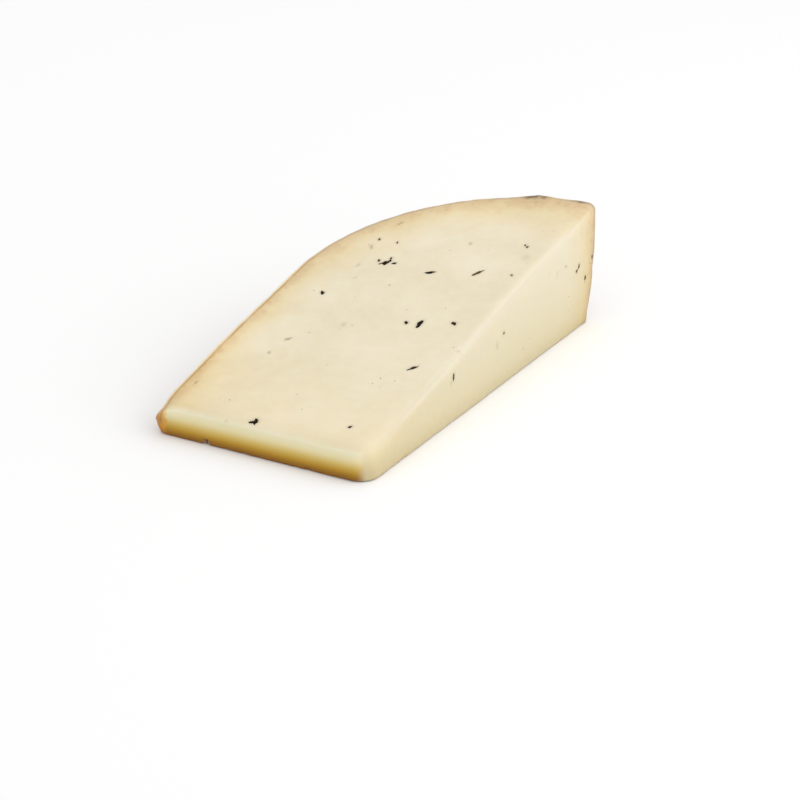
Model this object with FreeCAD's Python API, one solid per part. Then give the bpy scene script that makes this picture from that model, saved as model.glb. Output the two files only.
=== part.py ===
"""Wedge of truffle gouda, lying on one of its cut faces.

A gouda wheel has two flat faces and a rounded side. The block is half a wheel high: it runs from one flat rind
face to a cut through the wheel's middle. Two more cuts, which almost meet at the wheel's centre, make the
wedge, and a short cut takes off its tip, so that the block ends in a blunt nose. The edges between cuts are
rubbed round, as paste is soft, and the edges at the rind and round the base stay crisp.

Millimetres, +Z up. Origin at the middle of the bounding box's base. The nose points along -Y and the rounded
side of the wheel lies at +Y. The wheel's flat face is at -X, and the cut through the wheel's middle at +X.
"""
import FreeCAD
import Part

import math
import os

V = FreeCAD.Vector

# The wheel. Its rind swells outwards between the cuts, and is fullest at SWELL_HEIGHT above the base.
HALF_WHEEL = 60.2           # from the wheel's flat face to the cut through its middle
SHOULDER_LENGTH = 57.0      # along the wedge, from where the flat face starts to curve to the rim
FLAT_SWELL_RADIUS = 200.0   # of the flat face, seen from the nose
RIM_SWELL_RADIUS = 84.0     # of the rim, seen from the cut through the wheel's middle
SWELL_HEIGHT = 25.0

# The cuts.
LENGTH = 120.5              # from the foot of the nose to the fullest part of the rim
NOSE_HEIGHT = 7.4           # before its edges are rounded
WEDGE_ANGLE = 12.1          # between the base and the upper cut, in degrees
NOSE_LEAN = 4.0             # the nose leans out over its foot, in degrees

# The rounded edges.
CORNER_ROUND = 5.0          # the upright edge between the nose and the middle cut
RIDGE_ROUND = 2.1           # round the top of that corner and up the ridge
NOSE_ROUND = 1.0            # the top of the nose at its rind end, from where it grows up to the corner
RIND_ROUND = 1.0            # where the cuts meet the rind
BASE_ROUND = 0.5            # round the base

SHOULDER_STEPS = 12         # spans along the curve of one shoulder outline
LEVELS = 9                  # outlines that the rind passes through, from bottom to top
OVERCUT = 12.0              # how far the uncut wheel runs past each cut
TOUCH = 0.001               # two places nearer than this are one


def swell(z, radius):
    """How far the rind at height z lies inside its fullest part."""
    return radius - math.sqrt(radius ** 2 - (z - SWELL_HEIGHT) ** 2)


def upper_cut(y):
    """Height of the upper cut at y from the foot of the nose."""
    return NOSE_HEIGHT + y * math.tan(math.radians(WEDGE_ANGLE))


def wheel_outline(z):
    """The wheel at height z: an elliptic shoulder between the rim and the flat face, run past every cut."""
    reach_x = HALF_WHEEL - swell(z, FLAT_SWELL_RADIUS)
    reach_y = SHOULDER_LENGTH - swell(z, RIM_SWELL_RADIUS)
    shoulder = []
    for step in range(SHOULDER_STEPS + 1):
        turn = math.radians(90 * step / SHOULDER_STEPS)
        x = -reach_x * math.sin(turn)
        y = LENGTH - SHOULDER_LENGTH + reach_y * math.cos(turn)
        shoulder.append(V(x, y, z))
    curve = Part.BSplineCurve()
    curve.interpolate(shoulder, InitialTangent=V(-1, 0, 0), FinalTangent=V(0, -1, 0))
    rim = shoulder[0]
    flat = shoulder[-1]
    corners = [flat, V(flat.x, -OVERCUT, z), V(OVERCUT, -OVERCUT, z), V(OVERCUT, rim.y, z), rim]
    edges = [curve.toShape()]
    for start, end in zip(corners, corners[1:]):
        edges.append(Part.LineSegment(start, end).toShape())
    return Part.Wire(edges)


def wheel_piece():
    low = -OVERCUT
    high = upper_cut(LENGTH) + OVERCUT
    outlines = [wheel_outline(low + (high - low) * level / (LEVELS - 1)) for level in range(LEVELS)]
    return Part.makeLoft(outlines, True, False)


def edge_at(shape, point):
    place = Part.Vertex(point)
    return min(shape.Edges, key=lambda edge: edge.distToShape(place)[0])


def knife_cuts():
    """The space between the base, the upper cut, the nose and the middle cut, with its soft edges rounded."""
    lean = NOSE_HEIGHT * math.tan(math.radians(NOSE_LEAN))
    far_y = LENGTH + OVERCUT
    side = [V(0, 0, 0), V(0, far_y, 0), V(0, far_y, upper_cut(far_y)), V(0, -lean, NOSE_HEIGHT)]
    face = Part.Face(Part.makePolygon(side + side[:1]))
    block = face.extrude(V(-HALF_WHEEL - OVERCUT, 0, 0))
    corner = edge_at(block, V(0, -lean / 2, NOSE_HEIGHT / 2))
    block = block.makeFillet(CORNER_ROUND, [corner])
    nose_top = edge_at(block, V(-HALF_WHEEL / 2, -lean, NOSE_HEIGHT))
    return block.makeFillet(RIDGE_ROUND, NOSE_ROUND, [nose_top])     # runs on round the corner, up the ridge


def on_surface(solid, point):
    return solid.Shells[0].distToShape(Part.Vertex(point))[0] < TOUCH


def rind_edges(block, wheel, cuts):
    """The edges where the cuts meet the rind, apart from those on the base."""
    edges = []
    for edge in block.Edges:
        middle = edge.valueAt((edge.FirstParameter + edge.LastParameter) / 2)
        if middle.z > TOUCH and on_surface(wheel, middle) and on_surface(cuts, middle):
            edges.append(edge)
    return edges


def base_edges(block):
    return [edge for edge in block.Edges if edge.optimalBoundingBox().ZMax < TOUCH]


def cheese_wedge():
    wheel = wheel_piece()
    cuts = knife_cuts()
    block = wheel.common(cuts)
    block = block.makeFillet(RIND_ROUND, rind_edges(block, wheel, cuts))
    block = block.makeFillet(BASE_ROUND, base_edges(block))
    box = block.optimalBoundingBox()
    block.translate(V(-(box.XMin + box.XMax) / 2, -(box.YMin + box.YMax) / 2, -box.ZMin))
    return block.Solids[0]


os.makedirs("parts", exist_ok=True)
cheese = cheese_wedge()
cheese.exportStep("parts/cheese.step")
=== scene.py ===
"""Looks of a wedge of truffle gouda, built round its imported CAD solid.

One dense mesh holds the paste and its rind. It follows the solid, and adds the low relief of the cuts
and of the rind. Truffle lies in the cuts as small chips, joined into one mesh for each kind.

Blender's objects are in metres. Sizes here are in millimetres, and go through MM. Across is the frame's X,
from the flat rind to the middle cut, and along is its Y, from the nose to the rim.
"""
import math
import random

import bpy
import numpy as np
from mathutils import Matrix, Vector, noise
from mathutils.bvhtree import BVHTree
from mathutils.kdtree import KDTree


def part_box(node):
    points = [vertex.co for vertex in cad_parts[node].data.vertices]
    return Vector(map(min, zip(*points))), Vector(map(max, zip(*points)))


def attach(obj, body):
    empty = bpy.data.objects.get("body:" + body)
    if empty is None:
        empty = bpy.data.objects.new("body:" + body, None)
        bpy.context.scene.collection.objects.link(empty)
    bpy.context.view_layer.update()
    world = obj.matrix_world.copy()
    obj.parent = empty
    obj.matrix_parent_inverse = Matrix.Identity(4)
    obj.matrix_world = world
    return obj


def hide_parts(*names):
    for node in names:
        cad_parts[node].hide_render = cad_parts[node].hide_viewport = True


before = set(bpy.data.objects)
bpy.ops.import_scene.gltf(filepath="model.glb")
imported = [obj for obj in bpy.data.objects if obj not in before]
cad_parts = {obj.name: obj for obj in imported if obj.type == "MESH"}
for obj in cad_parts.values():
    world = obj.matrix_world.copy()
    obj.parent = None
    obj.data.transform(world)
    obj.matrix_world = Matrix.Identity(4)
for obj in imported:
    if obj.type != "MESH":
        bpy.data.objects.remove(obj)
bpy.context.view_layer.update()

MM = 0.001
LOW, HIGH = [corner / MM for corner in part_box("cheese")]

# The net of the dense mesh.
NET = 0.47                  # length of one side of its faces
SKIN = 0.1                  # how far it lies inside the cuts, so that the chips stay within the solid

# The upper cut isn't quite flat: the blade dipped and rose again on its way along the wedge.
BLADE_WAVE = 0.5            # height of the wave
BLADE_WAVE_LENGTH = 95.0    # along the wedge
BLADE_LEVEL_AT = 52.0       # from the nose, where the wave crosses from hollow to swelling

# The nose, the low end of the wedge, with the rind's corner beside it.
NOSE_HEIGHT = 7.4           # before its top edge is rubbed round
NOSE_FOOT = 0.45            # how far its foot lies behind its foremost part
NOSE_LEAN = 4.0             # it leans out over its foot, in degrees
WEDGE_ANGLE = 12.1          # between the base and the upper cut, in degrees
CORNER_ROUND = 5.0          # the upright edge between the nose and the middle cut
NOSE_ROLL = 5.0             # the width over which its top edge is rubbed round
RIDGE_ROLL = 1.7            # the same, high up the ridge between the two cuts
CORNER_FLARE = 1.0          # how far the rind's corner stands out
CORNER_FALL = 2.0           # how far its top is worn down
NICK_AT = -15.3             # across, where a crumb has left a nick in the foot of the nose
NICK_DEPTH = 0.6
CRUMB_DEPTH = 0.35          # of the smaller bites all round the base

# The rind's edges.
LIP = 0.6                   # how far the upper cut rises to the edge of the flat rind
LIP_AT = 31.0               # from the nose, where it rises the most
RIM_BUMP = 0.8              # height of the lump on the rim's top edge
RIM_BUMP_AT = 13.5          # across
SHOULDER_START = 3.5        # along, where the wheel's flat face starts to curve to its rim

# Truffle chips.
CHIP_THICKNESS = 0.25       # from a chip's rim down to its underside
RIM_SUNK = 0.03             # how far its rim lies in the paste
DIMPLE = 0.09               # how far the paste sinks round a black chip, and less round a paler one
DIMPLE_MARGIN = 0.7         # how far from the chip that starts
STAIN_MARGIN = 0.55         # how far from the chip the paste is stained
CHIP_REACH = 3.0            # how far off the surface the ray for one point of a chip starts
CLEAR = 5.0                 # how far off the block the ray for a whole chip starts

# The light: a soft sky with a bright side, a broad lamp and what the floor throws back.
SKY_BRIGHT_SIDE = Vector((0.75, 0.25, 0.65)).normalized()
SKY_STRENGTHS = (0.32, 1.18)                               # away from the bright side, and on it
LAMP_SIDE = Vector((0.8, 0.3, 0.6)).normalized()
LAMP_DISTANCE_M = 0.5
LAMP_WIDTH_M = 0.5
LAMP_WATTS = 0.28
FLOOR_LIGHT = 0.55
FLOOR_HALF_WIDTH_M = 4.0

# The camera, where the photograph's was.
CAMERA_AZIMUTH = 29.8       # degrees, from behind the nose round towards the middle cut
CAMERA_ELEVATION = 24.07    # degrees
CAMERA_DISTANCE = 602.0
CAMERA_TARGET = Vector((11.95, -13.7, 0.0))
CAMERA_LENS = 108.0         # for Blender's own 36 mm sensor

# Truffle on the upper cut: across, along, length, width, turn from across in degrees, darkness.
UPPER_CHIPS = [
    (-8.5, 14.3, 2.3, 1.7, 100, 1.0),       # the large black one, with crumbs round it
    (-7.9, 15.3, 2.0, 1.0, 80, 1.0),
    (-10.7, 14.8, 1.5, 0.7, 105, 0.8),
    (-9.6, 13.6, 1.1, 0.6, 60, 0.8),
    (-8.2, 16.8, 1.4, 0.6, 100, 0.85),
    (-6.2, 14.9, 1.3, 1.0, 30, 0.95),
    (5.0, 14.0, 2.9, 1.3, 27, 0.9),
    (16.8, 17.7, 4.2, 1.1, 67, 0.65),
    (13.8, -7.1, 4.0, 1.35, 87, 0.95),
    (10.3, -7.7, 1.6, 1.0, 120, 0.9),
    (21.9, -4.1, 1.8, 1.2, 130, 1.0),
    (-17.0, -3.2, 1.8, 1.2, 140, 0.85),
    (21.4, -24.0, 3.1, 1.1, 54, 0.8),
    (-3.5, -57.3, 1.9, 1.1, 15, 1.0),
    (-2.9, -56.9, 2.1, 1.4, 110, 1.0),
    (19.6, -50.8, 1.3, 0.8, 60, 0.95),
    (22.0, 34.3, 1.1, 0.7, 105, 0.55),
    (22.9, 33.7, 1.3, 0.75, 100, 0.55),
    (-10.5, 24.1, 1.3, 0.6, 118, 0.55),
    (-15.9, 24.0, 1.4, 0.7, 120, 0.65),
    (25.6, 19.8, 1.3, 0.6, 130, 0.5),
]
# Truffle in the middle cut: along, up, length, width, turn from along in degrees, darkness.
MIDDLE_CHIPS = [
    (7.6, 14.2, 1.1, 0.65, 166, 0.6),
    (-18.8, 12.1, 2.0, 1.0, 85, 0.65),
    (50.4, 18.0, 1.5, 1.0, 60, 0.55),
    (49.1, 17.1, 1.3, 0.9, 30, 0.55),
    (54.6, 13.4, 1.6, 1.0, 100, 0.65),
    (58.5, 18.1, 1.0, 0.7, 90, 0.75),
]
# Truffle just under the two cuts, seen through them as a soft brown shade.
UPPER_BURIED = [
    (-14.5, -23.9, 2.8, 1.3, 62, 0.62),
    (-16.0, -30.5, 1.6, 1.0, 100, 0.45),
    (-11.0, -19.7, 1.4, 0.8, 15, 0.32),
    (-4.5, -13.6, 2.8, 1.6, 100, 0.22),
    (-12.5, 5.5, 1.7, 0.9, 20, 0.26),
    (-14.7, 11.1, 2.7, 1.2, 85, 0.3),
    (-16.0, 20.0, 3.2, 0.9, 120, 0.5),
    (-14.9, 33.2, 2.6, 1.1, 73, 0.6),
    (8.1, 30.2, 2.0, 1.2, 120, 0.42),
    (25.1, 28.7, 4.0, 3.0, 110, 0.13),
    (-25.6, -48.6, 1.7, 0.9, 90, 0.6),
    (28.6, -14.0, 1.8, 1.0, 30, 0.2),
    (-10.2, -59.4, 1.3, 0.8, 140, 0.5),
]
MIDDLE_BURIED = [
    (4.0, 12.2, 2.9, 1.8, 86, 0.2),
    (37.5, 20.0, 3.0, 1.8, 80, 0.12),
    (42.5, 20.5, 1.8, 0.9, 157, 0.38),
    (-20.0, 11.0, 1.6, 0.9, 50, 0.3),
]
# Dark stains on the rind, seen from above: at its corner by the nose, round the lump, and along its edge.
RIND_STAINS = [
    (-29.8, -60.0, 3.4, 2.0, 90, 0.3),
    (13.0, 57.4, 9.5, 3.2, 15, 1.0),
    (25.6, 59.5, 7.0, 2.8, 6, 0.85),
    (-9.0, 46.4, 2.6, 1.6, 40, 0.5),
    (-20.6, 33.8, 4.5, 1.8, 58, 0.4),
]


# ---------------------------------------------------------------- points and shades

def smooth(low, high, value):
    """0 below low, 1 above high, and an even turn between them. Low may be above high."""
    share = np.clip((value - low) / (high - low), 0, 1)
    return share * share * (3 - 2 * share)


def cloud(points, size, seed, octaves=2):
    """Soft noise from about -1 to 1 at each point, with features about that size. Each seed has its own."""
    shift = Vector((seed * 17.3, seed * -9.1, seed * 5.7))
    return np.array([noise.fractal(Vector(p) / size + shift, 1.0, 2.0, octaves) for p in points])


def positions(mesh):
    flat = np.empty(len(mesh.vertices) * 3, np.float32)
    mesh.vertices.foreach_get("co", flat)
    return flat.reshape(-1, 3).astype(float) / MM


def normals(mesh):
    flat = np.empty(len(mesh.vertices) * 3, np.float32)
    mesh.vertex_normals.foreach_get("vector", flat)
    return flat.reshape(-1, 3).astype(float)


def ends_of_edges(mesh):
    flat = np.empty(len(mesh.edges) * 2, np.int32)
    mesh.edges.foreach_get("vertices", flat)
    return flat.reshape(-1, 2).T


def put_positions(mesh, points):
    mesh.vertices.foreach_set("co", (points * MM).astype(np.float32).ravel())
    mesh.update()


def put_shade(mesh, name, values):
    mesh.attributes.new(name, "FLOAT", "POINT").data.foreach_set("value", values.astype(np.float32))


def inside_box(points):
    """The points, with none outside the solid's box."""
    return np.clip(points, np.array(LOW), np.array(HIGH))


def surface_of(piece):
    """The piece's surface in millimetres, for rays and nearest points."""
    points = [vertex.co / MM for vertex in piece.data.vertices]
    return BVHTree.FromPolygons(points, [list(face.vertices) for face in piece.data.polygons])


# ---------------------------------------------------------------- the paste's mesh

def net_of(node):
    """The node's surface as an even net of small faces, laid back onto the solid."""
    solid = surface_of(node)
    piece = bpy.data.objects.new("cheese_paste", node.data.copy())
    bpy.context.scene.collection.objects.link(piece)
    remesh = piece.modifiers.new("net", "REMESH")
    remesh.mode = "VOXEL"
    remesh.voxel_size = NET * MM
    graph = bpy.context.evaluated_depsgraph_get()
    mesh = bpy.data.meshes.new_from_object(piece.evaluated_get(graph))
    piece.modifiers.clear()
    piece.data = mesh
    mesh.materials.clear()
    laid = np.array([solid.find_nearest(Vector(p))[0] for p in positions(mesh)])
    put_positions(mesh, laid)
    mesh.polygons.foreach_set("use_smooth", [True] * len(mesh.polygons))
    return piece


def rind_depth(mesh, points, facing):
    """How far each point lies from the rind's edge: above 0 on the cuts, and below 0 on the rind itself.

    The rind faces out to the flat side and the rim, and its edge is where the surface has turned half way.
    """
    outward = np.hypot(np.minimum(facing[:, 0], 0), np.maximum(facing[:, 1], 0)) - math.sqrt(0.5)
    start, end = ends_of_edges(mesh)
    crossed = outward[start] * outward[end] < 0
    start, end = start[crossed], end[crossed]
    share = outward[start] / (outward[start] - outward[end])
    border = points[start] + (points[end] - points[start]) * share[:, None]
    tree = KDTree(len(border))
    for index, point in enumerate(border):
        tree.insert(point, index)
    tree.balance()
    far = np.array([tree.find(point)[2] for point in points])
    return np.where(outward > 0, -far, far)


def blot(across, along, spot):
    """1 in the middle of an oval spot, falling to 0 just past its edge."""
    middle_a, middle_b, length, width, turn = spot[:5]
    turn = math.radians(turn)
    a = across - middle_a
    b = along - middle_b
    u = (a * math.cos(turn) + b * math.sin(turn)) / (length / 2)
    v = (b * math.cos(turn) - a * math.sin(turn)) / (width / 2)
    return smooth(1.25, 0.1, np.hypot(u, v))


def on_cuts(points, facing):
    """For the upper and then the middle cut: how surely each point is on it, and its coordinates there."""
    upper = (smooth(0.6, 0.9, facing[:, 2]), points[:, 0], points[:, 1])
    middle = (smooth(0.6, 0.9, facing[:, 0]), points[:, 1], points[:, 2])
    return upper, middle


def round_chips(points, facing, margin):
    """The darkness of the nearest chip, falling to 0 at that margin round it."""
    shade = np.zeros(len(points))
    for (on_cut, a, b), chips in zip(on_cuts(points, facing), (UPPER_CHIPS, MIDDLE_CHIPS)):
        for middle_a, middle_b, length, width, turn, dark in chips:
            spot = (middle_a, middle_b, length + 2 * margin, width + 2 * margin, turn)
            shade = np.maximum(shade, dark * on_cut * blot(a, b, spot))
    return shade


def buried_shade(points, facing):
    """How dark the truffle under the cuts makes each point, with a stain round each chip in them."""
    shade = 0.3 * round_chips(points, facing, STAIN_MARGIN)
    ragged = 0.35 * cloud(points, 0.9, 5)
    for (on_cut, a, b), spots in zip(on_cuts(points, facing), (UPPER_BURIED, MIDDLE_BURIED)):
        for spot in spots:
            shade = np.maximum(shade, spot[5] * on_cut * blot(a + ragged, b - ragged, spot))
    return shade


def blade_wave(points, facing, depth):
    """The long wave that the blade left in the upper cut."""
    upward = smooth(0.5, 0.95, facing[:, 2])
    along = points[:, 1] - LOW.y
    wave = BLADE_WAVE * np.sin(2 * math.pi * (along - BLADE_LEVEL_AT) / BLADE_WAVE_LENGTH)
    return upward * smooth(0, 12, depth) * wave


def cut_height(along):
    """Height of the upper cut, before it is rubbed, at a place along the wedge."""
    return NOSE_HEIGHT + (along - LOW.y - NOSE_FOOT) * math.tan(math.radians(WEDGE_ANGLE))


def under_cut(points):
    """How far each point lies under the upper cut."""
    return (cut_height(points[:, 1]) - points[:, 2]) * math.cos(math.radians(WEDGE_ANGLE))


def inside_walls(points):
    """How far each point lies inside the nose, the rounded corner and the middle cut, and its way out."""
    from_side = HIGH.x - points[:, 0]
    from_nose = points[:, 1] - LOW.y - NOSE_FOOT + points[:, 2] * math.tan(math.radians(NOSE_LEAN))
    to_side = np.maximum(CORNER_ROUND - from_side, 0)
    to_nose = np.maximum(CORNER_ROUND - from_nose, 0)
    reach = np.hypot(to_side, to_nose)
    inside = np.where(reach > 0, CORNER_ROUND - reach, np.minimum(from_side, from_nose))
    way = np.stack([to_side, -to_nose, np.zeros(len(points))], axis=1)
    way[reach == 0] = (0, -1, 0)
    return inside, way / np.linalg.norm(way, axis=1)[:, None]


def edge_roll(points, depth):
    """How each point moves as the edge of the upper cut is rubbed round.

    Where a point lies about as deep under the cut as inside the walls, the smaller of the two depths has to
    be more than 0, by a rounding that is the largest on the edge itself. The point moves inwards until it is.
    """
    up_ridge = smooth(4, 24, points[:, 1] - LOW.y)
    width = NOSE_ROLL + (RIDGE_ROLL - NOSE_ROLL) * up_ridge
    width = 1 + (width - 1) * smooth(0.3, 6.0, depth)
    angle = math.radians(WEDGE_ANGLE)
    inside, way = inside_walls(points)
    level = np.clip(0.5 + (inside - under_cut(points)) / (2 * width), 0, 1)[:, None]
    inward = -(level * np.array([0, -math.sin(angle), math.cos(angle)]) + (1 - level) * way)
    inward /= np.linalg.norm(inward, axis=1)[:, None]
    shallow = np.zeros(len(points))
    deep = np.full(len(points), NOSE_ROLL)
    for _ in range(14):                                    # each time halves the range that it lies in
        tried = (shallow + deep) / 2
        place = points + inward * tried[:, None]
        under = under_cut(place)
        inside = inside_walls(place)[0]
        nearness = np.maximum(1 - np.abs(under - inside) / width, 0)
        outside = (nearness > 0) & (np.minimum(under, inside) < nearness ** 2 * width / 4)
        shallow = np.where(outside, tried, shallow)
        deep = np.where(outside, deep, tried)
    return inward * (tried * smooth(0.5, 3.0, points[:, 2]))[:, None]


def relaxed(mesh, points, share, times):
    """The points drawn by each one's share towards the middle of their neighbours, which softens creases."""
    start, end = ends_of_edges(mesh)
    count = (np.bincount(start, minlength=len(points)) + np.bincount(end, minlength=len(points)))[:, None]
    for _ in range(times):
        total = np.zeros_like(points)
        for axis in range(3):
            total[:, axis] += np.bincount(start, points[end, axis], len(points))
            total[:, axis] += np.bincount(end, points[start, axis], len(points))
        points = points + (total / count - points) * share[:, None]
    return points


def nick(points):
    """1 in the nick at the foot of the nose, and 0 away from it."""
    near = np.exp(-((points[:, 0] - NICK_AT) / 0.6) ** 2) * smooth(LOW.y + 1.5, LOW.y + 0.8, points[:, 1])
    return near * smooth(2.0, 1.0, points[:, 2])


def base_crumbs(points):
    """Small bites out of the edge round the base, where crumbs have broken away."""
    bites = smooth(0.1, 0.6, cloud(points, 1.7, 6)) * smooth(-0.3, 0.4, cloud(points, 9, 7))
    low_down = smooth(1.3, 0.3, points[:, 2]) * smooth(-0.1, 0.4, points[:, 2])
    return -CRUMB_DEPTH * bites * low_down - NICK_DEPTH * nick(points)


def rim_bump(points):
    """A low lump where the rind of the rim was knocked, at the top edge."""
    near = np.exp(-((points[:, 0] - RIM_BUMP_AT) / 4.5) ** 2) * smooth(HIGH.y - 6, HIGH.y - 2, points[:, 1])
    return RIM_BUMP * near * smooth(HIGH.z - 9, HIGH.z - 3, points[:, 2])


def rind_wrinkles(points):
    """The dried rind: broad dents, with finer wrinkles and pores over them."""
    folds = np.abs(cloud(points * (1, 1, 1.8), 5.0, 8, 3))
    return 0.25 * cloud(points, 16, 3) - 0.22 * smooth(0.25, 0.0, folds) + 0.07 * cloud(points, 2.0, 4, 3)


def stains(points, depth):
    """How dark the stains at the rind's top edge are."""
    ragged = 0.6 * cloud(points, 1.6, 11, 3)
    shade = np.zeros(len(points))
    for spot in RIND_STAINS:
        shade = np.maximum(shade, spot[5] * blot(points[:, 0] + ragged, points[:, 1] - ragged, spot))
    return shade * smooth(-1.8, -0.6, depth + 0.6 * cloud(points, 3.0, 13)) * smooth(0.5, 4.0, points[:, 2])


def relief(points, facing, depth):
    """How far each point is lifted off the solid."""
    on_cut = smooth(0.0, 1.5, depth)
    on_rind = smooth(0.0, -1.2, depth)
    rubbed = 0.13 * cloud(points, 24, 1) + 0.05 * cloud(points, 7, 2) + 0.03 * cloud(points, 2.4, 9)
    uneven = 0.16 * cloud(points, 4.5, 12) * np.exp(-(depth / 1.5) ** 2)
    lift = blade_wave(points, facing, depth) + base_crumbs(points) + rim_bump(points) + uneven
    return lift + on_cut * (rubbed - SKIN) + on_rind * rind_wrinkles(points)


def rind_flare(points, depth):
    """The rind's corner at the nose stands out to the side, as the paste beside it has dried and shrunk."""
    near_nose = smooth(5.0, 0.5, points[:, 1] - LOW.y)
    near_rind = np.exp(-(np.maximum(depth, 0) / 1.4) ** 2)
    at_height = smooth(8.5, 4.0, points[:, 2]) * (0.5 + 0.5 * smooth(0.5, 2.5, points[:, 2]))
    return -CORNER_FLARE * near_nose * near_rind * at_height


def edge_height(points, depth):
    """How far the upper cut rises to the edge of the flat rind, and falls to the corner at the nose."""
    along = points[:, 1] - LOW.y
    near = np.exp(-(depth / 2.2) ** 2) * smooth(-18, -26, points[:, 0])
    upper = smooth(NOSE_HEIGHT - 4.5, NOSE_HEIGHT - 0.5, points[:, 2])
    rise = LIP * np.exp(-((along - LIP_AT) / 13) ** 2)
    return near * upper * (rise - CORNER_FALL * smooth(11, 0, along) ** 2)


def dimples(points, facing):
    """How far the paste sinks round each chip."""
    return DIMPLE * round_chips(points, facing, DIMPLE_MARGIN)


def from_edge(points):
    """How far each point lies from the upper cut's edge, along the nose, the corner and the ridge."""
    return np.maximum(inside_walls(points)[0], under_cut(points))


def shaped(mesh, points, facing, depth):
    """Where each point of the solid's surface lies on the real block."""
    lift = relief(points, facing, depth) - dimples(points, facing)
    soft = smooth(10, 7, from_edge(points)) * smooth(1.2, 3.0, depth) * smooth(1.0, 2.0, points[:, 2])
    moved = relaxed(mesh, points + edge_roll(points, depth), 0.5 * soft, 8) + facing * lift[:, None]
    moved[:, 0] += rind_flare(points, depth)
    moved[:, 2] += edge_height(points, depth)
    return inside_box(moved)


def shades(points, facing, depth):
    """What the paste's material is told of each point."""
    along = points[:, 1] - LOW.y
    ahead = -facing[:, 1] / np.maximum(np.hypot(facing[:, 0], facing[:, 1]), 0.01)
    # The nose's face, which the material gives painted shade.
    nose = smooth(0.66, 0.99, ahead) * smooth(0.95, 0.6, facing[:, 2]) * smooth(9, 4, along)
    # The middle cut, which the material paints lighter up high and darker at its foot.
    side = smooth(0.35, 0.9, facing[:, 0])
    flat_side = smooth(25, 0, points[:, 1]) * smooth(-10, -24, points[:, 0])
    stretch = 2.0 - smooth(0, 40, points[:, 1])            # the dry band is wider towards the rim
    return {
        "rind_depth": depth,
        "dry_depth": depth * (stretch + (1.6 - stretch) * side) + 30 * nose,
        "lip": flat_side * smooth(2.0, 4.5, points[:, 2]),
        "nose": nose,
        "side": side,
        "nick": nick(points),
        # Along the ridge, where the material paints the ridge's highlight.
        "ridge_highlight": np.exp(-(from_edge(points) / 1.5) ** 2) * smooth(2, 14, along) * smooth(0, 2, depth),
        "stained": stains(points, depth),
        "buried": buried_shade(points, facing),
    }


def make_paste():
    piece = net_of(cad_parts["cheese"])
    mesh = piece.data
    points = positions(mesh)
    facing = normals(mesh)
    depth = rind_depth(mesh, points, facing)
    put_positions(mesh, shaped(mesh, points, facing, depth))
    for name, values in shades(points, normals(mesh), depth).items():
        put_shade(mesh, name, values)
    return piece


# ---------------------------------------------------------------- truffle chips

class Chips:
    """Many small chips in one mesh. Each is a low dome on the paste, with its rim sunk into it."""

    RINGS = [(0.4, 0.92), (0.75, 0.6), (1.0, 0.0)]         # share of the radius, share of the height
    LOBES = (2, 3, 4, 5, 7, 9, 12)                         # how many waves each puts round the outline

    def __init__(self, name, surface, seed, sides):
        self.name = name
        self.surface = surface
        self.draw = random.Random(seed)
        self.sides = sides
        self.points = []
        self.faces = []
        self.darkness = []

    def outline(self, length, width):
        """The chip's ragged outline. A slender chip comes to a point at each end."""
        slender = min(max(length / width - 1.3, 0), 1.5)
        lobes = [(count, self.draw.uniform(0.4, 1) * 0.32 / count ** 0.7, self.draw.uniform(0, 2 * math.pi))
                 for count in self.LOBES]
        line = []
        for side in range(self.sides):
            angle = 2 * math.pi * side / self.sides
            ragged = 1 + sum(size * math.sin(count * angle + start) for count, size, start in lobes)
            narrow = abs(math.sin(angle)) ** (0.3 * slender)
            u = ragged * math.cos(angle) * length / 2
            v = ragged * narrow * math.sin(angle) * width / 2
            line.append((u, v))
        return line

    def laid(self, place, away, height):
        """The point about that high over the paste, at a place near its surface."""
        hit = self.surface.ray_cast(place + away * CHIP_REACH, -away)[0] or place
        return hit + away * height * (1 + 0.6 * noise.noise(place * 2.5))

    def add(self, middle, away, across, along, chip):
        """One chip round a point of the surface. Away points out of it, and across and along lie in it."""
        length, width, turn, dark = chip
        turn = math.radians(turn)
        long_way = across * math.cos(turn) + along * math.sin(turn)
        wide_way = along * math.cos(turn) - across * math.sin(turn)
        height = 0.04 + 0.04 * min(width, 1.5)
        centre = len(self.points)
        line = self.outline(length, width)
        self.points.append(self.laid(middle, away, height))
        for share, raised in self.RINGS:
            for u, v in line:
                place = middle + long_way * u * share + wide_way * v * share
                sunk = RIM_SUNK if share == 1.0 else 0.0
                self.points.append(self.laid(place, away, height * raised) - away * sunk)
        rim = len(self.points) - self.sides
        for side in range(self.sides):
            self.points.append(self.points[rim + side] - away * CHIP_THICKNESS)
        self.darkness += [dark] * (len(self.points) - centre)
        self.join(centre, rim)

    def join(self, centre, rim):
        """The faces of a chip, from its centre point over its rings and down to its underside."""
        for side in range(self.sides):
            following = (side + 1) % self.sides
            self.faces.append((centre, centre + 1 + side, centre + 1 + following))
            for ring in range(centre + 1, rim + 1, self.sides):
                a = ring + side
                b = ring + following
                self.faces.append((a, a + self.sides, b + self.sides, b))
        under = rim + self.sides
        self.faces.append(tuple(range(under + self.sides - 1, under - 1, -1)))

    def add_at(self, start, away, across, along, chip):
        """One chip where a line from start against away meets the surface."""
        hit, facing = self.surface.ray_cast(start, -away)[:2]
        across = (across - facing * across.dot(facing)).normalized()
        self.add(hit, facing, across, facing.cross(across), chip)

    def piece(self):
        mesh = bpy.data.meshes.new(self.name)
        mesh.from_pydata(inside_box(np.array(self.points)) * MM, [], self.faces)
        mesh.polygons.foreach_set("use_smooth", [True] * len(mesh.polygons))
        put_shade(mesh, "dark", np.array(self.darkness))
        piece = bpy.data.objects.new(self.name, mesh)
        bpy.context.scene.collection.objects.link(piece)
        return piece


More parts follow.
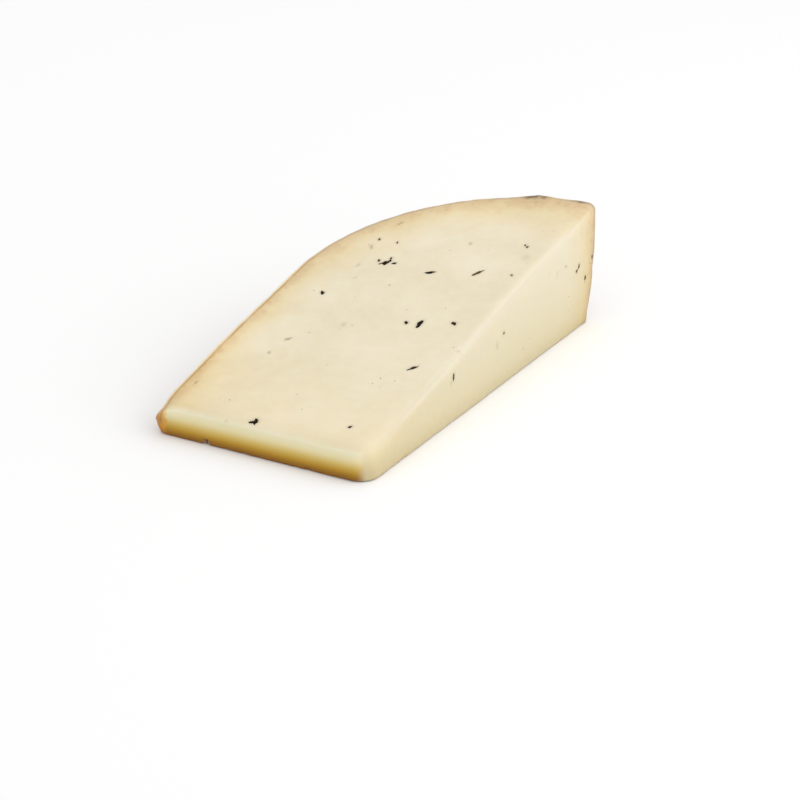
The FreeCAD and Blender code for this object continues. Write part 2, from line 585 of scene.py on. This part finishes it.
# Three sides of the block, each with three ways: out of the block, and two that lie in the side.
ABOVE = (Vector((0, 0, 1)), Vector((1, 0, 0)), Vector((0, 1, 0)))
BELOW = (Vector((0, 0, -1)), Vector((1, 0, 0)), Vector((0, -1, 0)))
MIDDLE = (Vector((1, 0, 0)), Vector((0, 1, 0)), Vector((0, 0, 1)))


def scattered(draw, count, low, high, inside):
    """That many places drawn at random between two corners, all of them inside."""
    places = []
    while len(places) < count:
        place = [draw.uniform(a, b) for a, b in zip(low, high)]
        if inside(place):
            places.append(place)
    return places


def inside_base(place):
    """True for a place seen from above that lies well inside the ellipse of the shoulder."""
    x = (HIGH.x - place[0]) / (2 * HIGH.x)
    y = max(0.0, place[1] - SHOULDER_START) / (HIGH.y - SHOULDER_START)
    return x * x + y * y < 0.8


def under_upper_cut(place):
    """True for a place seen from the middle cut's side that lies on that cut."""
    along, up = place
    return up < cut_height(along) - 3


def make_flakes(surface):
    """The chips of truffle that show as flakes, on the two cuts that show and under the base."""
    flakes = Chips("truffle_flakes", surface, seed=3, sides=32)
    for x, y, *chip in UPPER_CHIPS:
        flakes.add_at(Vector((x, y, HIGH.z + CLEAR)), *ABOVE, chip)
    for y, z, *chip in MIDDLE_CHIPS:
        flakes.add_at(Vector((HIGH.x + CLEAR, y, z)), *MIDDLE, chip)
    draw = random.Random(8)
    for x, y in scattered(draw, 24, (LOW.x + 4, LOW.y + 3), (HIGH.x - 3, HIGH.y - 5), inside_base):
        length = draw.uniform(0.8, 2.8)
        chip = (length, length * draw.uniform(0.3, 0.7), draw.uniform(0, 180), draw.uniform(0.5, 1))
        flakes.add_at(Vector((x, y, -CLEAR)), *BELOW, chip)
    return flakes.piece()


def make_specks(surface):
    """The finest truffle, like ground pepper."""
    specks = Chips("truffle_specks", surface, seed=4, sides=8)
    draw = random.Random(21)

    def speck():
        length = draw.uniform(0.2, 0.42)
        return (length, length * draw.uniform(0.5, 0.9), draw.uniform(0, 180), draw.uniform(0.0, 0.5))

    for x, y in scattered(draw, 26, (LOW.x + 4, LOW.y + 4), (HIGH.x - 3, HIGH.y - 5), inside_base):
        specks.add_at(Vector((x, y, HIGH.z + CLEAR)), *ABOVE, speck())
    for x, y in scattered(draw, 30, (LOW.x + 4, LOW.y + 4), (HIGH.x - 3, HIGH.y - 5), inside_base):
        specks.add_at(Vector((x, y, -CLEAR)), *BELOW, speck())
    for y, z in scattered(draw, 10, (LOW.y + 8, 1.5), (HIGH.y - 3, HIGH.z - 4), under_upper_cut):
        specks.add_at(Vector((HIGH.x + CLEAR, y, z)), *MIDDLE, speck())
    return specks.piece()


# ---------------------------------------------------------------- materials

class Nodes:
    """A short way to write a node tree."""

    def __init__(self, tree):
        self.tree = tree
        tree.nodes.clear()

    def add(self, kind, inputs=(), **settings):
        node = self.tree.nodes.new(kind)
        for key, value in settings.items():
            setattr(node, key, value)
        for key, value in dict(inputs).items():
            self.put(node.inputs[key], value)
        return node

    def put(self, socket, value):
        if isinstance(value, bpy.types.NodeSocket):
            self.tree.links.new(value, socket)
        else:
            socket.default_value = value

    def place(self):
        """The place on the object, in metres."""
        return self.add("ShaderNodeTexCoord").outputs["Object"]

    def axis(self, place, letter):
        """One of the place's coordinates, in millimetres."""
        return self.math("DIVIDE", self.add("ShaderNodeSeparateXYZ", {0: place}).outputs[letter], MM)

    def shade(self, name):
        """The value that the mesh holds under that name at each point."""
        return self.add("ShaderNodeAttribute", attribute_name=name).outputs["Fac"]

    def math(self, operation, a, b=0.0):
        return self.add("ShaderNodeMath", {0: a, 1: b}, operation=operation).outputs[0]

    def turn(self, value, low, high, to_low=0.0, to_high=1.0):
        """An even turn from to_low to to_high, as value goes from low to high."""
        inputs = {"Value": value, "From Min": low, "From Max": high, "To Min": to_low, "To Max": to_high}
        return self.add("ShaderNodeMapRange", inputs, interpolation_type="SMOOTHSTEP").outputs[0]

    def noise(self, place, size, detail=3.0, roughness=0.5):
        """Noise round 0.5, with features about that many millimetres across."""
        inputs = {"Vector": place, "Scale": 0.5 / (size * MM), "Detail": detail, "Roughness": roughness}
        return self.add("ShaderNodeTexNoise", inputs).outputs["Fac"]

    def mix(self, share, first, second, blend="MIX"):
        """The first colour at share 0, and the second, or their blend, at 1."""
        inputs = {"Factor": share, 6: first, 7: second}
        return self.add("ShaderNodeMix", inputs, data_type="RGBA", blend_type=blend).outputs[2]

    def ramp(self, value, *stops):
        """A colour that follows a value from 0 to 1 through the given places and colours."""
        node = self.add("ShaderNodeValToRGB", {"Fac": value})
        elements = node.color_ramp.elements
        while len(elements) < len(stops):
            elements.new(1.0)
        for element, (place, colour) in zip(elements, stops):
            element.position = place
            element.color = colour
        return node.outputs["Color"]


def tint(red, green, blue):
    """A colour given as it looks on screen, from 0 to 255, for Blender's linear sockets."""
    def linear(part):
        part /= 255
        return part / 12.92 if part <= 0.04045 else ((part + 0.055) / 1.055) ** 2.4

    return (linear(red), linear(green), linear(blue), 1.0)


def new_material(name):
    material = bpy.data.materials.new(name)
    material.use_nodes = True
    return material, Nodes(material.node_tree)


def cut_colour(n, place, height):
    """Cream paste on the two cuts, with the dried bands and the gold nose. Painted light and shade: the
    middle cut lighter up high and darker at its foot, the cream a little darker towards the nose, and the
    ridge between the cuts painted whiter, as its highlight is; the gold nose carries painted shade.
    """
    mottle = n.math("ADD", n.noise(place, 9.0), n.math("MULTIPLY", n.noise(place, 1.6, 4.0, 0.6), 0.5))
    upper = n.ramp(n.math("SUBTRACT", mottle, 0.25),
                   (0.3, tint(235, 223, 192)),
                   (0.5, tint(239, 228, 199)),
                   (0.7, tint(242, 232, 206)))
    # Painted light and shade: the middle cut is lighter up high and darker and yellower towards its foot, as
    # the light falls on it.
    side = n.ramp(n.math("DIVIDE", height, 30.0),
                  (0.0, tint(222, 206, 162)),
                  (0.1, tint(231, 217, 177)),
                  (0.2, tint(237, 224, 187)),
                  (0.4, tint(241, 229, 195)),
                  (0.7, tint(246, 234, 204)),
                  (1.0, tint(249, 238, 210)))
    cream = n.mix(n.shade("side"), upper, side)
    # Painted highlight: the ridge between the cuts is painted whiter and a little darker, as its highlight
    # is.
    cream = n.mix(n.math("MULTIPLY", n.shade("ridge_highlight"), 0.8), cream, tint(230, 222, 202))
    # Painted shade: the cream darkens a little and warms towards the nose.
    near_nose = n.turn(n.axis(place, "Y"), LOW.y + 50, LOW.y)
    cream = n.mix(near_nose, cream, tint(255, 251, 243), "MULTIPLY")
    return dried(n, place, nose_colour(n, place, height, cream))


def nose_colour(n, place, height, colour):
    """The cut nose in gold: partly a drier cut end, partly painted shade that deepens towards its foot, where
    the nose faces away from the light; the same beside the rind in orange.
    """
    share = n.math("DIVIDE", height, NOSE_HEIGHT)
    # Painted shade: the gold darkens and deepens towards the foot of the nose.
    gold = n.ramp(share,
                  (0.0, tint(164, 106, 22)),
                  (0.15, tint(174, 122, 28)),
                  (0.3, tint(211, 163, 46)),
                  (0.5, tint(238, 207, 114)),
                  (0.7, tint(254, 237, 186)),
                  (1.0, tint(255, 247, 220)))
    # The same painted shade in the orange beside the rind.
    orange = n.ramp(share,
                    (0.0, tint(176, 108, 30)),
                    (0.3, tint(240, 172, 64)),
                    (0.7, tint(246, 196, 104)),
                    (1.0, tint(244, 212, 150)))
    edge = n.math("ADD", n.shade("rind_depth"), n.turn(n.noise(place, 1.2), 0.25, 0.75, -0.8, 0.8))
    gold = n.mix(n.turn(edge, 2.6, 1.4), gold, orange)
    # Painted shade: the nick at the foot of the nose is painted near black, as the shade in it.
    gold = n.mix(n.math("MULTIPLY", n.shade("nick"), 0.95), gold, tint(60, 36, 14))
    return n.mix(n.shade("nose"), colour, gold)


def dried(n, place, colour):
    """The paste is yellow and then peach towards the rind, in uneven bands."""
    depth = n.math("MULTIPLY", n.shade("dry_depth"), n.turn(n.noise(place, 12.0), 0.25, 0.75, 0.7, 1.35))
    for size, spread in ((2.4, 1.2), (1.0, 0.7)):
        depth = n.math("ADD", depth, n.turn(n.noise(place, size), 0.25, 0.75, -spread, spread))
    band = n.ramp(n.math("DIVIDE", depth, 25.0),
                  (0.0, tint(232, 214, 188)),
                  (0.08, tint(236, 219, 197)),
                  (0.16, tint(242, 226, 201)),
                  (0.24, tint(248, 235, 212)),
                  (0.32, tint(252, 243, 223)),
                  (0.4, tint(253, 247, 232)),
                  (0.6, tint(255, 251, 245)),
                  (1.0, tint(255, 255, 255)))
    colour = n.mix(1.0, colour, band, "MULTIPLY")
    spots = n.math("MULTIPLY", n.turn(n.noise(place, 0.9), 0.5, 0.66), n.turn(depth, 8.0, 3.0))
    return n.mix(n.math("MULTIPLY", spots, 0.6), colour, tint(248, 234, 214), "MULTIPLY")


def edge_band(n, where, strength, depth, start, full, fading, end):
    """A band along the rind's edge, between two depths, with soft sides."""
    band = n.math("MULTIPLY", n.turn(depth, start, full), n.turn(depth, end, fading))
    return n.math("MULTIPLY", n.math("MULTIPLY", band, where), strength)


def edge_colour(n, place, depth, colour):
    """The rind's edge: grey-brown along the rim, partly the rind's skin and partly painted shade where the
    rind turns away; pale along the flat side, partly dried rind and partly a painted highlight on the rounded
    edge; and orange at the nose.
    """
    patchy = n.turn(n.noise(place, 3.0), 0.36, 0.6, 0.4, 0.9)
    ragged = n.turn(n.noise(place, 2.5), 0.3, 0.7, -2.5, 2.5)
    along = n.math("ADD", n.axis(place, "Y"), ragged)
    flat = n.shade("lip")
    rim = n.math("MULTIPLY", n.math("SUBTRACT", 1.0, flat), n.turn(along, LOW.y + 4.0, LOW.y + 10.0))
    # Grey-brown along the rim: partly the rind's skin, partly painted shade of the rind turning away from the
    # edge.
    colour = n.mix(edge_band(n, rim, patchy, depth, -2.4, -0.8, 1.0, 1.7), colour, tint(196, 174, 142))
    colour = n.mix(edge_band(n, flat, patchy, depth, 0.8, 1.1, 1.25, 1.6), colour, tint(194, 158, 100))
    # A pale line at the flat side's rounded edge: partly pale dried rind, partly painted highlight where that
    # edge catches the light.
    colour = n.mix(edge_band(n, flat, 0.9, depth, -1.3, -0.4, 0.55, 0.9), colour, tint(250, 235, 204))
    corner = n.math("MULTIPLY", n.turn(along, LOW.y + 7.0, LOW.y + 1.0), n.turn(depth, 1.6, 0.4))
    corner = n.math("MULTIPLY", corner, n.turn(patchy, 0.4, 0.9, 0.5, 0.95))
    colour = n.mix(corner, colour, tint(206, 134, 52))
    stain = n.math("MULTIPLY", n.shade("stained"), n.turn(depth, 2.4, 1.2))
    return n.mix(stain, colour, tint(94, 64, 44))


def rind_colour(n, place):
    """Tan rind, mottled and bloomed."""
    base = n.ramp(n.noise(place, 7.0, 4.0, 0.6),
                  (0.3, tint(190, 152, 104)),
                  (0.5, tint(209, 176, 128)),
                  (0.7, tint(221, 194, 150)))
    stain = n.turn(n.noise(place, 2.2), 0.57, 0.75, 0.0, 0.7)
    bloom = n.turn(n.noise(place, 3.5, 4.0, 0.7), 0.56, 0.75, 0.0, 0.45)
    return n.mix(bloom, n.mix(stain, base, tint(150, 118, 88)), tint(216, 207, 190))


def bumped(n, relief, strength, distance):
    """Surface directions for relief that is finer than the mesh."""
    inputs = {"Strength": strength, "Distance": distance * MM, "Height": relief}
    return n.add("ShaderNodeBump", inputs).outputs[0]


def paste_material():
    material, n = new_material("gouda_paste")
    place = n.place()
    depth = n.shade("rind_depth")
    on_rind = n.turn(depth, 0.25, -0.45)
    cut = n.mix(n.shade("buried"), cut_colour(n, place, n.axis(place, "Z")), tint(96, 78, 36))
    colour = edge_colour(n, place, depth, n.mix(on_rind, cut, rind_colour(n, place)))
    grain = n.noise(place, 0.5)
    swell = n.noise(place, 2.4, 2.0)
    rough = n.math("ADD", n.turn(on_rind, 0.0, 1.0, 0.44, 0.5), n.math("MULTIPLY", grain, 0.12))
    relief = n.math("ADD", n.math("MULTIPLY", grain, 0.35), swell)
    shader = n.add("ShaderNodeBsdfPrincipled", {
        "Base Color": colour, "Roughness": rough, "Normal": bumped(n, relief, 0.4, 0.12),
        "Subsurface Weight": 0.4, "Subsurface Radius": (1.0, 0.75, 0.45), "Subsurface Scale": 1.2 * MM,
        "Specular IOR Level": 0.35})
    n.add("ShaderNodeOutputMaterial", {"Surface": shader.outputs[0]})
    return material


def truffle_material():
    material, n = new_material("truffle")
    vein = n.noise(n.place(), 0.25)
    black = n.ramp(vein,
                   (0.35, tint(22, 15, 8)),
                   (0.58, tint(46, 33, 17)),
                   (0.75, tint(96, 74, 42)))
    brown = n.ramp(vein,
                   (0.35, tint(92, 70, 42)),
                   (0.7, tint(146, 120, 80)))
    colour = n.mix(n.turn(n.shade("dark"), 0.45, 0.95), brown, black)
    shader = n.add("ShaderNodeBsdfPrincipled", {
        "Base Color": colour, "Roughness": 0.8, "Normal": bumped(n, vein, 0.5, 0.05),
        "Specular IOR Level": 0.08})
    n.add("ShaderNodeOutputMaterial", {"Surface": shader.outputs[0]})
    return material


# ---------------------------------------------------------------- the stage

def seen_directly(n):
    """1 for the rays that show the backdrop itself, and 0 for those that light the object."""
    path = n.add("ShaderNodeLightPath").outputs
    share = n.math("MAXIMUM", path["Is Camera Ray"], path["Is Glossy Ray"])
    return n.math("MAXIMUM", share, path["Is Transmission Ray"])


def make_floor():
    """A plain white floor, which throws back less light than it shows."""
    mesh = bpy.data.meshes.new("floor")
    half = FLOOR_HALF_WIDTH_M
    corners = [(-half, -half, 0), (half, -half, 0), (half, half, 0), (-half, half, 0)]
    mesh.from_pydata(corners, [], [(0, 1, 2, 3)])
    floor = bpy.data.objects.new("floor", mesh)
    bpy.context.scene.collection.objects.link(floor)
    material, n = new_material("floor")
    colour = n.mix(seen_directly(n), (FLOOR_LIGHT, FLOOR_LIGHT, FLOOR_LIGHT, 1), (1, 1, 1, 1))
    shader = n.add("ShaderNodeBsdfDiffuse", {"Color": colour})
    n.add("ShaderNodeOutputMaterial", {"Surface": shader.outputs[0]})
    mesh.materials.append(material)


def make_world():
    """A white sky, brighter over the far right of the block as the camera sees it."""
    world = bpy.data.worlds.new("studio")
    bpy.context.scene.world = world
    world.use_nodes = True
    n = Nodes(world.node_tree)
    way = n.add("ShaderNodeTexCoord").outputs["Generated"]
    facing = n.add("ShaderNodeVectorMath", {0: way, 1: SKY_BRIGHT_SIDE}, operation="DOT_PRODUCT")
    sky = n.turn(facing.outputs["Value"], -0.9, 1.0, *SKY_STRENGTHS)
    light = n.add("ShaderNodeMix", {"Factor": seen_directly(n), 2: sky, 3: 1.0}, data_type="FLOAT")
    background = n.add("ShaderNodeBackground", {"Color": (1, 1, 1, 1), "Strength": light.outputs[0]})
    n.add("ShaderNodeOutputWorld", {"Surface": background.outputs[0]})


def make_camera():
    azimuth = math.radians(CAMERA_AZIMUTH)
    elevation = math.radians(CAMERA_ELEVATION)
    back = Vector((math.sin(azimuth) * math.cos(elevation), -math.cos(azimuth) * math.cos(elevation),
                   math.sin(elevation)))
    data = bpy.data.cameras.new("camera")
    data.lens = CAMERA_LENS
    data.clip_start = 0.01
    camera = bpy.data.objects.new("camera", data)
    camera.location = (CAMERA_TARGET + back * CAMERA_DISTANCE) * MM
    camera.rotation_euler = back.to_track_quat("Z", "Y").to_euler()
    bpy.context.scene.collection.objects.link(camera)
    bpy.context.scene.camera = camera


def make_key_light():
    data = bpy.data.lights.new("key", "AREA")
    data.shape = "DISK"
    data.size = LAMP_WIDTH_M
    data.energy = LAMP_WATTS
    light = bpy.data.objects.new("key", data)
    light.location = LAMP_SIDE * LAMP_DISTANCE_M
    light.rotation_euler = LAMP_SIDE.to_track_quat("Z", "Y").to_euler()
    bpy.context.scene.collection.objects.link(light)


# ---------------------------------------------------------------- the scene

paste = make_paste()
paste.data.materials.append(paste_material())
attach(paste, "root")
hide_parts("cheese")

surface = surface_of(paste)
truffle = truffle_material()
for piece in (make_flakes(surface), make_specks(surface)):
    piece.data.materials.append(truffle)
    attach(piece, "root")

make_floor()
make_world()
make_key_light()
make_camera()
bpy.context.scene.view_settings.view_transform = "Standard"
